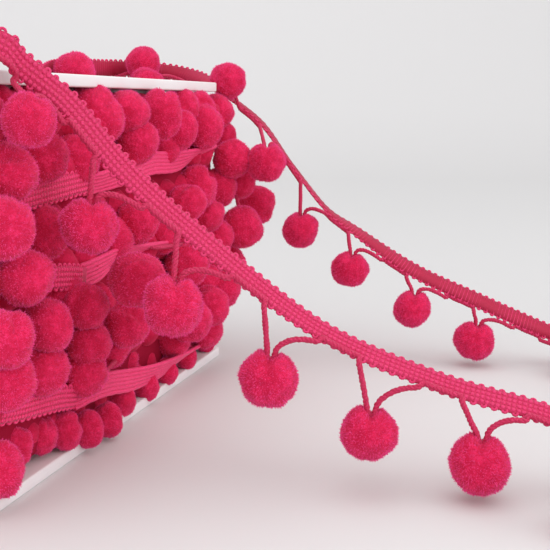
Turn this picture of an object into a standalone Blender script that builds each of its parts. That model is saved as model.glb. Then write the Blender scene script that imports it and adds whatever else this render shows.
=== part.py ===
"""Pompom fringe trim wound on a flat reel, with a loose length led off it.

Units: the driving sizes below are in millimetres and MM turns them into metres. +Z is up.
The origin is the middle of the underside of the reel's bottom flange. +X runs along the
flanges' long side and -Y is the side that the loose length is led off to.

The trim is one piece of yarn goods: a crocheted heading (the flat braid), a fringe cord that is
caught along the heading's lower edge and drops in loops, and a pompom at the foot of each loop.
"""

import math

import bmesh
import bpy
from mathutils import Vector

MM = 0.001

# Reel: two flanges joined by a flat web.
FLANGE_LENGTH = 230.0
FLANGE_WIDTH = 50.0
FLANGE_THICKNESS = 4.5
REEL_HEIGHT = 140.0
FLANGE_CORNER = 3.0
WEB_LENGTH = 176.0
WEB_THICKNESS = 12.0
WEB_SINK = 1.0

# Trim.
HEADING_WIDTH = 10.0
HEADING_THICKNESS = 1.5
HEADING_STEP = 7.0
CORD_DIAMETER = 2.2
CORD_EDGE_GAP = 0.7
LOOP_PITCH = 36.0
EDGE_STEP = 7.0
LOOP_WIDTH = 21.0
LOOP_DROP = 15.0
LOOP_FOOT = 3.4
LOOP_BOW = 2.0
KNEE_OUT = 2.4
LEG_CLEARANCE = 1.0
POMPOM_DIAMETER = 20.0
SEAT_GAP = 0.3

# Wound turns: the outline follows the flanges, the heading rows lie a little outside it and
# the pompoms between the rows bulge well past it.
PACK_GAP = 0.3
PACK_STATIONS = 76
PACK_LEVELS = 17
PACK_CORNER = 20.0
ROW_OFFSET = 2.0
TUCK_OFFSET = -3.0
TUCK_HEIGHT = 5.0
LUMP_RADIUS = 12.0
LUMP_PITCH = 25.0
PRESS_CLEARANCE = 1.1
# The notch in the back of the wound turns that the loose length leaves from.
NOTCH_LOW = (-6.0, 26.6, 121.0)
NOTCH_HIGH = (62.0, 60.0, 136.0)

# Heights of the pompom rows in the wound turns, and how far out their centres lie.
LUMP_ROWS = [
    {"height": 114.0, "out": 6.0, "shift": 0.0},
    {"height": 86.0, "out": 7.0, "shift": 0.5},
    {"height": 54.0, "out": 7.0, "shift": 0.1},
    {"height": 39.0, "out": 5.0, "shift": 0.6},
    {"height": 13.0, "out": 5.0, "shift": 0.3},
]

# The loose length, from where it leaves the wound turns to its cut end. Each row is a point on
# the heading's middle line; lean is how far the free (upper) edge tips from upright towards the
# right of the way it runs, in degrees: 0 stands on edge with the fringe down, 90 lies flat.
ROUTE_COLUMNS = ("x", "y", "z", "lean")
ROUTE = [
    # off the back of the wound turns and up past the top flange
    (2.0, 28.1, 130.6, 0),
    (20.0, 30.6, 132.0, 0),
    (40.0, 36.4, 137.0, 0),
    (60.0, 42.4, 142.5, 0),
    (80.0, 46.6, 146.0, 0),
    (104.0, 47.2, 147.4, 0),
    (128.0, 45.0, 148.0, 0),
    # round the far end
    (146.0, 38.0, 148.4, -4),
    (156.5, 25.0, 147.6, -14),
    (154.0, 8.0, 145.2, -34),
    (145.0, -7.5, 141.8, -62),
    # down the far strand
    (141.0, -20.3, 134.2, -80),
    (138.2, -40.0, 120.3, -86),
    (135.4, -57.0, 99.7, -88),
    (132.2, -76.0, 77.6, -78),
    (130.5, -92.0, 66.4, -62),
    (129.0, -122.5, 47.4, -46),
    (132.0, -155.0, 32.8, -42),
    (139.6, -190.5, 17.0, -40),
    # the bend on the floor, where the heading turns over once
    (144.5, -214.0, 8.0, -62),
    (140.5, -230.1, 3.2, -82),
    (125.0, -247.2, 2.4, -88),
    (97.0, -257.5, 4.2, -72),
    (62.0, -261.5, 9.2, -12),
    (27.0, -259.5, 5.4, 62),
    (-3.0, -249.5, 2.6, 86),
    (-22.0, -236.9, 4.6, 82),
    (-32.5, -223.0, 16.0, 66),
    # up the near strand
    (-38.1, -193.3, 28.8, 56),
    (-42.7, -157.1, 38.6, 58),
    (-50.1, -117.8, 55.8, 58),
    (-60.0, -80.4, 85.6, 42),
    (-68.0, -58.4, 107.2, 30),
    (-75.8, -43.4, 128.2, 20),
    (-81.4, -37.3, 135.6, 8),
    (-86.5, -32.4, 141.2, 2),
    # over the top flange to the cut end
    (-92.5, -29.0, 147.4, 0),
    (-99.0, -16.0, 149.6, 0),
    (-103.0, 2.0, 148.8, 0),
    (-105.0, 19.0, 148.6, 0),
]

# The loop stations run at LOOP_PITCH from FIRST_STATION along the route. Most pompoms hang
# straight down or lie on the floor beside the heading; these ones are pushed aside by the
# flanges, the wound turns or each other, and each row gives such a pompom's own middle.
FIRST_STATION = 40.5
PLACED_COLUMNS = ("station", "x", "y", "z", "diameter")
PLACED = [
    # behind the reel
    (0, 32.0, 47.5, 125.5, 20.0),
    (1, 68.0, 56.0, 113.0, 20.0),
    (2, 76.8, 34.3, 144.6, 20.0),
    # round the far end
    (3, 139.4, 26.1, 150.6, 19.2),
    (4, 125.0, 17.8, 139.2, 19.0),
    (5, 126.6, -26.3, 141.1, 19.0),
    # down the far strand
    (6, 116.9, -49.5, 100.7, 20.1),
    (7, 126.5, -65.0, 66.0, 19.2),
    (8, 122.8, -91.9, 47.4, 19.8),
    (9, 123.4, -123.6, 28.7, 19.6),
    (10, 129.4, -154.2, 13.1, 20.6),
    # at the bend on the floor
    (11, 122.0, -203.5, 10.25, 20.0),
    (12, 121.5, -227.0, 10.25, 20.0),
    (13, 99.0, -233.5, 10.25, 20.0),
    # up the near strand
    (19, -46.1, -172.0, 13.0, 21.2),
    (20, -51.0, -135.7, 21.5, 19.8),
    (21, -58.3, -102.9, 39.8, 20.4),
    (22, -69.6, -74.0, 65.1, 20.8),
    (23, -75.8, -48.0, 91.1, 20.1),
    (24, -96.0, -39.5, 124.7, 17.6),
    # on the top flange
    (25, -115.5, -6.0, 150.3, 20.0),
]

GROUND_CLEARANCE = 0.25


def material(name, colour, roughness):
    """A plain material in one colour."""
    made = bpy.data.materials.new(name)
    made.use_nodes = True
    shader = made.node_tree.nodes["Principled BSDF"]
    shader.inputs["Base Color"].default_value = (*colour, 1.0)
    shader.inputs["Roughness"].default_value = roughness
    shader.inputs["Metallic"].default_value = 0.0
    return made


def add_object(name, data, finish):
    """Link an object that holds the mesh or curve, with its finish."""
    data.materials.append(finish)
    made = bpy.data.objects.new(name, data)
    bpy.context.scene.collection.objects.link(made)
    return made


def mesh_from(builder, name):
    """Turn a finished bmesh into mesh data."""
    data = bpy.data.meshes.new(name)
    builder.to_mesh(data)
    builder.free()
    return data


def add_cutter(name, data, target):
    """Cut the mesh out of the target with an exact Boolean."""
    cutter = bpy.data.objects.new(name, data)
    bpy.context.scene.collection.objects.link(cutter)
    cutter.hide_render = True
    cutter.display_type = "WIRE"
    cut = target.modifiers.new(name, "BOOLEAN")
    cut.operation = "DIFFERENCE"
    cut.solver = "EXACT"
    cut.object = cutter
    return cutter


# ---------------------------------------------------------------- the loose length's route


def catmull_rom(before, start, end, after, t):
    """Point at t between start and end on a smooth curve through four values."""
    return 0.5 * (
        2.0 * start
        + (end - before) * t
        + (2.0 * before - 5.0 * start + 4.0 * end - after) * t**2
        + (3.0 * start - 3.0 * end + after - before) * t**3
    )


class Route:
    """The heading's middle line as a smooth curve, read by the length along it."""

    SAMPLES = 24

    def __init__(self, rows):
        rows = [dict(zip(ROUTE_COLUMNS, row)) for row in rows]
        knots = [Vector((row["x"], row["y"], row["z"])) for row in rows]
        leans = [math.radians(row["lean"]) for row in rows]
        knots = [2 * knots[0] - knots[1], *knots, 2 * knots[-1] - knots[-2]]
        leans = [leans[0], *leans, leans[-1]]
        self.points, self.leans, self.lengths = [], [], [0.0]
        for i in range(1, len(knots) - 2):
            for step in range(self.SAMPLES):
                t = step / self.SAMPLES
                self.points.append(catmull_rom(*knots[i - 1 : i + 3], t))
                self.leans.append(leans[i] + (leans[i + 1] - leans[i]) * t)
        self.points.append(knots[-2])
        self.leans.append(leans[-2])
        for a, b in zip(self.points, self.points[1:]):
            self.lengths.append(self.lengths[-1] + (b - a).length)
        self.length = self.lengths[-1]

    def at(self, distance):
        """The point, the way it runs and the unit vector from fringe edge to free edge."""
        distance = min(max(distance, 0.0), self.length)
        i = next((k for k, done in enumerate(self.lengths[1:]) if done >= distance), 0)
        share = (distance - self.lengths[i]) / (self.lengths[i + 1] - self.lengths[i])
        point = self.points[i].lerp(self.points[i + 1], share)
        low, high = max(i - 2, 0), min(i + 3, len(self.points) - 1)
        run = (self.points[high] - self.points[low]).normalized()
        lean = self.leans[i] + (self.leans[i + 1] - self.leans[i]) * share
        right = run.cross(Vector((0.0, 0.0, 1.0))).normalized()
        upright = right.cross(run).normalized()
        across = upright * math.cos(lean) + right * math.sin(lean)
        return point, run, across


# ------------------------------------------------------------------------------- the reel


def box_into(builder, size, middle):
    """Add a box of the given size and middle, in millimetres."""
    made = bmesh.ops.create_cube(builder, size=1.0)["verts"]
    bmesh.ops.scale(builder, verts=made, vec=Vector(size) * MM)
    bmesh.ops.translate(builder, verts=made, vec=Vector(middle) * MM)
    return made


def round_upright_edges(builder, verts, radius):
    """Round the four upright corners of a box."""
    edges = {
        edge
        for vert in verts
        for edge in vert.link_edges
        if abs(edge.verts[0].co.z - edge.verts[1].co.z) > MM
    }
    bmesh.ops.bevel(
        builder,
        geom=list(edges),
        offset=radius * MM,
        segments=3,
        profile=0.5,
        affect="EDGES",
        material=-1,
    )


def flange_mesh(name, bottom):
    """One flange: a thin plate with lightly rounded corners."""
    builder = bmesh.new()
    size = (FLANGE_LENGTH, FLANGE_WIDTH, FLANGE_THICKNESS)
    verts = box_into(builder, size, (0.0, 0.0, bottom + FLANGE_THICKNESS / 2))
    round_upright_edges(builder, verts, FLANGE_CORNER)
    return mesh_from(builder, name)


def add_reel(finish):
    """Both flanges and the web between them, joined to one body."""
    builder = bmesh.new()
    web_height = REEL_HEIGHT - 2 * FLANGE_THICKNESS + 2 * WEB_SINK
    box_into(builder, (WEB_LENGTH, WEB_THICKNESS, web_height), (0, 0, REEL_HEIGHT / 2))
    reel = add_object("reel", mesh_from(builder, "reel"), finish)
    for name, bottom in (("bottom_flange", 0.0), ("top_flange", REEL_HEIGHT - FLANGE_THICKNESS)):
        flange = bpy.data.objects.new(name, flange_mesh(name, bottom))
        bpy.context.scene.collection.objects.link(flange)
        flange.hide_render = True
        flange.display_type = "WIRE"
        join = reel.modifiers.new(name, "BOOLEAN")
        join.operation = "UNION"
        join.solver = "EXACT"
        join.object = flange
    return reel


# ----------------------------------------------------------------------- the wound turns


def outline_point(share, offset):
    """A point of the flanges' rounded outline, at a share of the way round, moved outwards."""
    radius = PACK_CORNER
    half_x = FLANGE_LENGTH / 2 - radius
    half_y = FLANGE_WIDTH / 2 - radius
    quarter = math.pi * radius / 2
    spans = [2 * half_x, quarter, 2 * half_y, quarter] * 2
    way = (share % 1.0) * sum(spans)
    corners = [(half_x, -half_y), (half_x, half_y), (-half_x, half_y), (-half_x, -half_y)]
    for side in range(4):
        heading = side * math.pi / 2
        centre = Vector(corners[side])
        along = Vector((math.cos(heading), math.sin(heading)))
        outward = Vector((along.y, -along.x))
        straight = spans[2 * side]
        if way <= straight:
            return centre - along * (straight - way) + outward * (radius + offset)
        way -= straight
        if way <= quarter:
            turn = heading - math.pi / 2 + way / radius
            return centre + Vector((math.cos(turn), math.sin(turn))) * (radius + offset)
        way -= quarter
    return outline_point(0.0, offset)


def outline_length():
    """The way round the flanges' rounded outline."""
    straight = 2 * (FLANGE_LENGTH + FLANGE_WIDTH) - 8 * PACK_CORNER
    return straight + 2 * math.pi * PACK_CORNER


def pack_offset(share, height):
    """How far the wound turns reach past the flanges' outline at this place and height."""
    inner_low = FLANGE_THICKNESS
    inner_high = REEL_HEIGHT - FLANGE_THICKNESS
    edge = min(height - inner_low, inner_high - height)
    base = ROW_OFFSET if height > REEL_HEIGHT / 2 or edge > TUCK_HEIGHT else TUCK_OFFSET
    reach = base
    way = share * outline_length()
    pitches = round(outline_length() / LUMP_PITCH)
    pitch = outline_length() / pitches
    for row in LUMP_ROWS:
        from_row = height - row["height"]
        from_lump = (way / pitch - row["shift"] + 0.5) % 1.0 - 0.5
        square = LUMP_RADIUS**2 - from_row**2 - (from_lump * pitch) ** 2
        if square > 0.0:
            reach = max(reach, row["out"] + math.sqrt(square))
    return reach


def pack_section(share):
    """The closed outline of the wound turns at one place: outer wall up, inner wall down."""
    low = FLANGE_THICKNESS + PACK_GAP
    high = REEL_HEIGHT - FLANGE_THICKNESS - PACK_GAP
    outer = []
    for level in range(PACK_LEVELS):
        height = low + (high - low) * level / (PACK_LEVELS - 1)
        place = outline_point(share, pack_offset(share, height))
        outer.append(Vector((place.x, place.y, height)))
    inner_x = WEB_LENGTH / 2 + PACK_GAP
    inner_y = WEB_THICKNESS / 2 + PACK_GAP
    middle = outline_point(share, 0.0)
    inside = Vector(
        (
            max(-inner_x, min(inner_x, middle.x)),
            max(-inner_y, min(inner_y, middle.y)),
        )
    )
    return outer + [Vector((inside.x, inside.y, z)) for z in (high, low)]


def add_wound_trim(finish, pressed_by):
    """The wound turns as one ring round the web, hollowed where loose pompoms press in."""
    builder = bmesh.new()
    loops = []
    for station in range(PACK_STATIONS):
        section = pack_section(station / PACK_STATIONS)
        verts = [builder.verts.new(point * MM) for point in section]
        ring = [builder.edges.new((a, b)) for a, b in zip(verts, verts[1:] + verts[:1])]
        loops.append(ring)
    for first, second in zip(loops, loops[1:] + loops[:1]):
        bmesh.ops.bridge_loops(builder, edges=first + second)
    bmesh.ops.triangulate(builder, faces=builder.faces)
    bmesh.ops.recalc_face_normals(builder, faces=builder.faces)
    pack = add_object("wound_trim", mesh_from(builder, "wound_trim"), finish)
    pressing = bmesh.new()
    for middle, diameter in pressed_by:
        made = bmesh.ops.create_icosphere(
            pressing, subdivisions=2, radius=(diameter / 2 + PRESS_CLEARANCE) * MM
        )
        bmesh.ops.translate(pressing, verts=made["verts"], vec=middle * MM)
    add_cutter("pressed_hollows", mesh_from(pressing, "pressed_hollows"), pack)
    notch = bmesh.new()
    size = Vector(NOTCH_HIGH) - Vector(NOTCH_LOW)
    box_into(notch, size, Vector(NOTCH_LOW) + size / 2)
    add_cutter("leaving_notch", mesh_from(notch, "leaving_notch"), pack)
    return pack


# ----------------------------------------------------------------------- the loose length


def add_heading(route, finish):
    """The flat braid: a ribbon drawn along the route and given its thickness."""
    builder = bmesh.new()
    steps = round(route.length / HEADING_STEP)
    half = HEADING_WIDTH / 2
    point, _, across = route.at(0.0)
    low = builder.verts.new((point - across * half) * MM)
    high = builder.verts.new((point + across * half) * MM)
    edge = builder.edges.new((low, high))
    for step in range(1, steps + 1):
        grown = bmesh.ops.extrude_edge_only(builder, edges=[edge])["geom"]
        edge = next(item for item in grown if isinstance(item, bmesh.types.BMEdge))
        low, high = (
            next(e.other_vert(v) for e in v.link_edges if e.other_vert(v) in edge.verts)
            for v in (low, high)
        )
        point, _, across = route.at(route.length * step / steps)
        low.co = (point - across * half) * MM
        high.co = (point + across * half) * MM
    heading = add_object("heading", mesh_from(builder, "heading"), finish)
    thicken = heading.modifiers.new("thickness", "SOLIDIFY")
    thicken.thickness = HEADING_THICKNESS * MM
    thicken.offset = 0.0
    return heading


def loop_edge(route, distance):
    """A point of the fringe cord where it lies along the heading's fringe edge."""
    point, _, across = route.at(distance)
    return point - across * (HEADING_WIDTH / 2 + CORD_EDGE_GAP + CORD_DIAMETER / 2)


def pompom_place(route, station, distance):
    """The middle and diameter of the pompom on the loop at this distance."""
    placed = {row[0]: dict(zip(PLACED_COLUMNS, row)) for row in PLACED}
    if station in placed:
        row = placed[station]
        return Vector((row["x"], row["y"], row["z"])), row["diameter"]
    edge = loop_edge(route, distance)
    _, _, across = route.at(distance)
    drop = LOOP_DROP + POMPOM_DIAMETER / 2
    height = edge.z - drop
    resting = POMPOM_DIAMETER / 2 + GROUND_CLEARANCE
    if height >= resting:
        return edge - Vector((0.0, 0.0, drop)), POMPOM_DIAMETER
    aside = Vector((-across.x, -across.y, 0.0)).normalized()
    out = math.sqrt(drop**2 - (edge.z - resting) ** 2)
    return Vector((edge.x + aside.x * out, edge.y + aside.y * out, resting)), POMPOM_DIAMETER


def pompoms_of(route):
    """Each loop's distance along the route, with its pompom's middle and diameter."""
    count = int((route.length - FIRST_STATION - LOOP_WIDTH / 2) / LOOP_PITCH) + 1
    found = []
    for station in range(count):
        distance = FIRST_STATION + station * LOOP_PITCH
        found.append((distance, *pompom_place(route, station, distance)))
    return found


def loop_points(route, distance, middle, diameter):
    """The fringe cord's points down to one pompom and back to the heading."""
    ends = [loop_edge(route, distance + side * LOOP_WIDTH / 2) for side in (-1, 1)]
    towards = (ends[0] + ends[1]) / 2 - middle
    reach = towards.length - diameter / 2
    towards.normalize()
    clear = diameter / 2 + CORD_DIAMETER / 2 + SEAT_GAP
    along = ends[1] - ends[0]
    along = (along - towards * along.dot(towards)).normalized() * LOOP_FOOT / 2
    bow = towards * max(0.0, min(LOOP_BOW, reach / 4 - 1.0))
    legs = []
    for side, end in zip((-1, 1), ends):
        foot = middle + towards * clear + along * side
        _, run, across = route.at(distance + side * LOOP_WIDTH / 2)
        face = run.cross(across)
        aside = (foot - end).dot(face)
        leg = [end]
        if (foot - end).dot(across) > -abs(aside):
            leg.append(end + face * math.copysign(KNEE_OUT, aside))
        for share in (1 / 3, 2 / 3):
            away = leg[-1].lerp(foot, share) + bow - middle
            leg.append(middle + away.normalized() * max(away.length, clear + LEG_CLEARANCE))
        legs.append([*leg, foot])
    return legs[0] + legs[1][::-1]


def edge_run(route, start, end):
    """The fringe cord's points where it follows the fringe edge, both ends left out."""
    steps = max(1, round((end - start) / EDGE_STEP))
    return [loop_edge(route, start + (end - start) * i / steps) for i in range(1, steps)]


def add_fringe_cord(route, pompoms, finish):
    """The cord as one comb: along the fringe edge, and down and up at each loop."""
    done = 1.0
    points = [loop_edge(route, done)]
    for distance, middle, diameter in pompoms:
        points += edge_run(route, done, distance - LOOP_WIDTH / 2)
        points += loop_points(route, distance, middle, diameter)
        done = distance + LOOP_WIDTH / 2
    points += edge_run(route, done, route.length - 1.0)
    points.append(loop_edge(route, route.length - 1.0))
    data = bpy.data.curves.new("fringe_cord", "CURVE")
    data.dimensions = "3D"
    data.bevel_depth = CORD_DIAMETER / 2 * MM
    data.bevel_resolution = 1
    data.use_fill_caps = True
    spline = data.splines.new("POLY")
    spline.points.add(len(points) - 1)
    for target, point in zip(spline.points, points):
        target.co = (*(point * MM), 1.0)
    return add_object("fringe_cord", data, finish)


def add_pompom(name, middle, diameter, towards, finish):
    """One pompom, turned so that its loop meets it at a corner of the mesh."""
    builder = bmesh.new()
    bmesh.ops.create_icosphere(builder, subdivisions=2, radius=diameter / 2 * MM)
    turn = Vector((0.0, 0.0, 1.0)).rotation_difference(towards)
    builder.transform(turn.to_matrix().to_4x4())
    pompom = add_object(name, mesh_from(builder, name), finish)
    pompom.data.shade_smooth()
    pompom.location = middle * MM
    return pompom


def main():
    for old in list(bpy.data.objects):
        bpy.data.objects.remove(old)
    board = material("white_board", (0.86, 0.86, 0.86), 0.45)
    braid = material("braid", (0.75, 0.03, 0.13), 0.7)
    cord = material("cord", (0.72, 0.03, 0.12), 0.7)
    pile = material("pile", (0.68, 0.015, 0.09), 0.95)

    route = Route(ROUTE)
    pompoms = pompoms_of(route)
    add_reel(board)
    add_wound_trim(pile, [(middle, diameter) for _, middle, diameter in pompoms])
    add_heading(route, braid)
    add_fringe_cord(route, pompoms, cord)
    for number, (distance, middle, diameter) in enumerate(pompoms, start=1):
        leave = loop_edge(route, distance - LOOP_WIDTH / 2)
        come_back = loop_edge(route, distance + LOOP_WIDTH / 2)
        towards = ((leave + come_back) / 2 - middle).normalized()
        add_pompom(f"pompom_{number:02d}", middle, diameter, towards, pile)


main()
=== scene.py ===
"""Pompom fringe trim on a flat reel: the looks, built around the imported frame.

Units: tables and sizes named below are in millimetres and MM turns them into metres. +Z is up,
the origin is the middle of the underside of the reel's bottom flange, +X runs along the flanges.
"""

import math
import random

import bmesh
import bpy
from mathutils import Matrix, Vector, noise


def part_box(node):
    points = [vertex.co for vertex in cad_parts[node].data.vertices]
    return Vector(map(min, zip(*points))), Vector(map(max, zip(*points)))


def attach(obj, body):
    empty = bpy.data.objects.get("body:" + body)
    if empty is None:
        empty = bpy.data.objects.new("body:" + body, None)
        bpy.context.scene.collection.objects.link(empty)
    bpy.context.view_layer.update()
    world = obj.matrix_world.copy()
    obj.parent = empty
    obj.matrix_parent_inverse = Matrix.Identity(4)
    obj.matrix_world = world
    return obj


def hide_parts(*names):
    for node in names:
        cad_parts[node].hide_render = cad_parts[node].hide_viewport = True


bl_info = {
    "name": "Pompom Fringe Trim",
    "version": (1, 0, 0),
    "blender": (4, 5, 0),
    "location": "View3D > Sidebar > Fringe Trim",
    "description": "Builds a pompom fringe trim wound on a flat reel, one length led off it",
    "category": "Add Mesh",
}

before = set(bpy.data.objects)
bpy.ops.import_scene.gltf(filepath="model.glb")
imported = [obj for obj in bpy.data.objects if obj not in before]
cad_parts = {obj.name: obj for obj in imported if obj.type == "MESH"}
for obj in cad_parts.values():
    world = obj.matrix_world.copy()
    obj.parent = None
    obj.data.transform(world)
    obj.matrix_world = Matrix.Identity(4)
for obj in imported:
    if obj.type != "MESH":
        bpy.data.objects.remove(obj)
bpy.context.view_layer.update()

MM = 0.001
UP = Vector((0.0, 0.0, 1.0))

# The middle line of the loose length's heading. lean is how far the free edge tips from upright
# towards the right of the way it runs, in degrees.
ROUTE_COLUMNS = ("x", "y", "z", "lean")
ROUTE = [
    # off the back of the wound turns and up past the top flange
    (2, 28.1, 130.6, 0), (20, 30.6, 132, 0), (40, 36.4, 137, 0), (60, 42.4, 142.5, 0),
    (80, 46.6, 146, 0), (104, 47.2, 147.4, 0), (128, 45, 148, 0),
    # round the far end
    (146, 38, 148.4, -4), (156.5, 25, 147.6, -14), (154, 8, 145.2, -34), (145, -7.5, 141.8, -68),
    # down the far strand
    (141, -20.3, 134.2, -92), (138.2, -40, 120.3, -96), (135.4, -57, 99.7, -106),
    (132.2, -76, 77.6, -98), (130.5, -92, 66.4, -76), (129, -122.5, 47.4, -52),
    (132, -155, 32.8, -42), (139.6, -190.5, 17, -40),
    # the bend on the floor, where the heading turns over once
    (144.5, -214, 8, -62), (140.5, -230.1, 3.2, -82), (125, -247.2, 2.4, -88),
    (97, -257.5, 4.2, -72), (62, -261.5, 9.2, -12), (27, -259.5, 5.4, 62), (-3, -249.5, 2.6, 86),
    (-22, -236.9, 4.6, 82), (-32.5, -223, 16, 66),
    # up the near strand
    (-38.1, -193.3, 28.8, 56), (-42.7, -157.1, 38.6, 58), (-50.1, -117.8, 55.8, 58),
    (-60, -80.4, 85.6, 42), (-68, -58.4, 107.2, 30), (-75.8, -43.4, 128.2, 20),
    (-81.4, -37.3, 135.6, 8), (-86.5, -32.4, 141.2, 2),
    # over the top flange to the cut end
    (-92.5, -29, 147.4, 0), (-99, -16, 149.6, 0), (-103, 2, 148.8, 0), (-105, 19, 148.6, 0),
]

# Fringe cord. Its loops come at LOOP_PITCH from FIRST_STATION along the route, each LOOP_WIDTH
# wide at the heading and LOOP_FOOT at the tie, which is TIE_SINK deep in the pile. EDGE_OUT,
# EDGE_RAISED and DROP_OUT say where the cord lies on the fringe edge and where it leaves it.
POMPOM_COUNT = 26
FIRST_STATION = 40.5
LOOP_PITCH = 36.0
LOOP_WIDTH = 21.0
LOOP_FOOT = 1.8
TIE_SINK = 4.4
SEAT_GAP = 0.1
TIE_LIFT = 2.6
EDGE_STEP = 3.0
EDGE_TURN = 0.7
EDGE_OUT = 4.1
EDGE_RAISED = 1.1
EDGE_INSET = 1.0
DROP_OUT = 5.9
# Each leg's points on the way to the tie: share of the way, lift, and least gap to the pompom.
HANGING_LEG = ((0.3, 0.2, 1.0), (0.6, 0.3, 0.8), (0.84, 0.2, -1.2))
ARCHED_LEG = ((0.3, 2.4, 0.6), (0.58, 3.9, -0.6), (0.82, 3.8, -1.6), (0.93, 2.6, -2.6))
# Cord plies: how many, and in shares of the cord's thickness how far out and how thick each is.
CORD_PLIES = 3
PLY_OUT = 0.22
PLY_RADIUS = 0.29
PLY_STEP = 0.55

# Braid: the weft goes to and fro and turns in an open ring at each edge, and chain stitches
# stand in columns on its face.
PASS_PITCH = 1.75
WEFT_SIDES = (-2.6, 0.0, 2.6)
RING_OUT = 3.85
RING_RADIUS = 0.74
RING_STEPS = 7
RING_START = 215.0
RING_SWEEP = 250.0
RING_WAVE = 0.12
CHAIN_COLUMNS = (-2.7, -0.9, 0.9, 2.7)
CHAIN_SIZE = (0.93, 0.85, 0.42)
CHAIN_TURN = 7.0
CHAIN_OUT = 0.46
CHAIN_SPREAD = (0.93, 1.07)
BASE_WIDTH = 7.6
BASE_FACE = 0.46
BASE_REVERSE = 0.5
RIB_PITCH = 0.9
RIB_HEIGHT = 0.17
RIDGE_SIDES = (-4.0, -2.4, -0.8, 0.8, 2.4, 4.0)
RIDGE_STEP = 2.0
RIDGE_RADIUS = 0.95

# Floor, in metres: it runs out under and behind the object and sweeps up from SWEEP_START.
FLOOR_STRIPS = 120
FLOOR_REACH = 12.0
FLOOR_SIDE = 14.0
SWEEP_START = 1.3
SWEEP_RADIUS = 2.4
# Painted light: how pale the floor is at shares of FLOOR_SPAN out from the object, and how it dims
# sideways.
FLOOR_SPAN = 4.5
FLOOR_PAINTED_LIGHT = ((0.0, 1.0), (0.035, 0.93), (0.18, 0.93), (0.3, 0.95), (0.45, 1.04), (0.66, 1.10))
FLOOR_PAINTED_DIMMING = (-1.1, 0.1, 0.95, 1.0)

# Camera: place in metres, way and tilt in degrees, lens and sensor in millimetres.
CAMERA_PLACE = (-0.3663, -0.1951, 0.1295)
CAMERA_YAW = 16.26
CAMERA_PITCH = 9.71
CAMERA_LENS = 65.4545
CAMERA_SENSOR = 36.0

# Soft lights that face LIGHT_AIM, in metres: name, place, size, and the setting for its power.
LIGHT_AIM = (0.0, -0.09, 0.05)
LIGHTS = (
    ("top_light", (-0.1, -0.3, 1.6), (2.6, 2.6), "key_power"),
    ("front_fill", (-1.2, -0.9, 0.55), (1.2, 0.8), "fill_power"),
    ("side_light", (-0.30, -1.9, 0.62), (1.2, 1.0), "side_power"),
)

# Reel web, in metres: its length and depth, and how far it is let into each flange.
WEB_SIZE = (0.176, 0.012)
WEB_LET_IN = 0.001

# Pile, in radii of a pompom: each tuft's size, lean and place, and lumps as (spots, height).
TUFT_LENGTH = 0.105
TUFT_WIDTH = 0.021
TUFT_LEAN = 0.42
TUFT_SUNK = 0.03
TUFT_SPREAD = (0.55, 1.2)
# TUFT_ROOT is the reach given to a tuft's root; it sets how much painted sheen pales the root.
TUFT_ROOT = 0.74
PILE_LUMPS = ((1.1, 0.10), (2.6, 0.05), (7.5, 0.028), (16.0, 0.014))

# Kinds of pompom that are copied, numbered from first. number + seed seeds the pile, fineness
# divides the ball, and the tie draws in by cleft plus none, one or two times deeper in turn.
KIND_COLUMNS = ("first", "count", "seed", "fineness", "tufts", "cleft", "deeper")
KINDS = {
    "loose": (1, 5, 0, 4, 4600, 0.22, 0.05),
    "near": (0, 5, 20, 4, 2600, 0.05, 0.09),
    "far": (0, 5, 40, 3, 500, 0.0, 0.10),
    "fill": (0, 3, 60, 3, 240, 0.1, 0.0),
}
SPIN = (0.0, 6.28)

# Seeds of the random draws.
HEADING_SEED = 11
WOUND_SEED = 5
BAND_SEED = 30

# Packed inside of the wound turns, its lumps as (spots a metre, height).
CORE_SIZE = (222.0, 44.0, 129.0)
CORE_MIDDLE = (0.0, 0.0, 70.0)
CORE_CORNER = 8.0
CORE_CUTS = 7
CORE_LUMPS = ((110.0, 2.5), (420.0, 0.8))
CORE_SINK = 1.5

# Pompoms of the wound turns that are laid out level by level: levels, steps, then start and
# pitch along x and z. Every other level of a grid is set off by half a step. OUT is the y they
# stand at, END the x they stop at, and the back's top level is left open over BACK_GAP.
GRID_COLUMNS = ("levels", "steps", "x", "x_pitch", "z", "z_pitch")
FILL_GRID = (7, 13, -108.0, 18.0, 15.5, 18.2)
FILL_END = 110.0
FILL_OUT = -18.5
FILL_FOOT_OUT = -13.5
FILL_DIAMETER = 19.0
BACK_GRID = (6, 11, -106.0, 20.6, 15.0, 21.4)
BACK_END = 115.0
BACK_OUT = 28.0
BACK_GAP = (-20.0, 76.0)
# Ends of the wound turns: each column's y, how far out it stands, and its lift.
END_COLUMNS = ((-13.0, 111.0, 0.0), (2.0, 113.0, 6.0), (16.0, 111.0, 0.0))
# Lowest and highest middles at the back and ends.
LOWEST = 14.0
HIGHEST = 124.5
# How far the draws for these pompoms spread, by WOUND_COLUMNS, and the way their ties face.
FILL_SPREAD = {"x": (-2, 2), "z": (-1, 1)}
BACK_SPREAD = {
    "x": (-3.5, 3.5), "y": (-3.5, 3.0), "z": (-3.0, 3.0), "diameter": (18.0, 21.5),
    "tall": (0.94, 1.12),
}
END_SPREAD = {
    "x": (-3.0, 1.5), "y": (-2.0, 2.0), "z": (-3.5, 3.5), "diameter": (17.5, 20.5),
    "tall": (0.94, 1.1),
}
TIE_SPREAD = ((-0.8, 0.8), (-0.7, 0.6), (0.2, 1.0))

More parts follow.
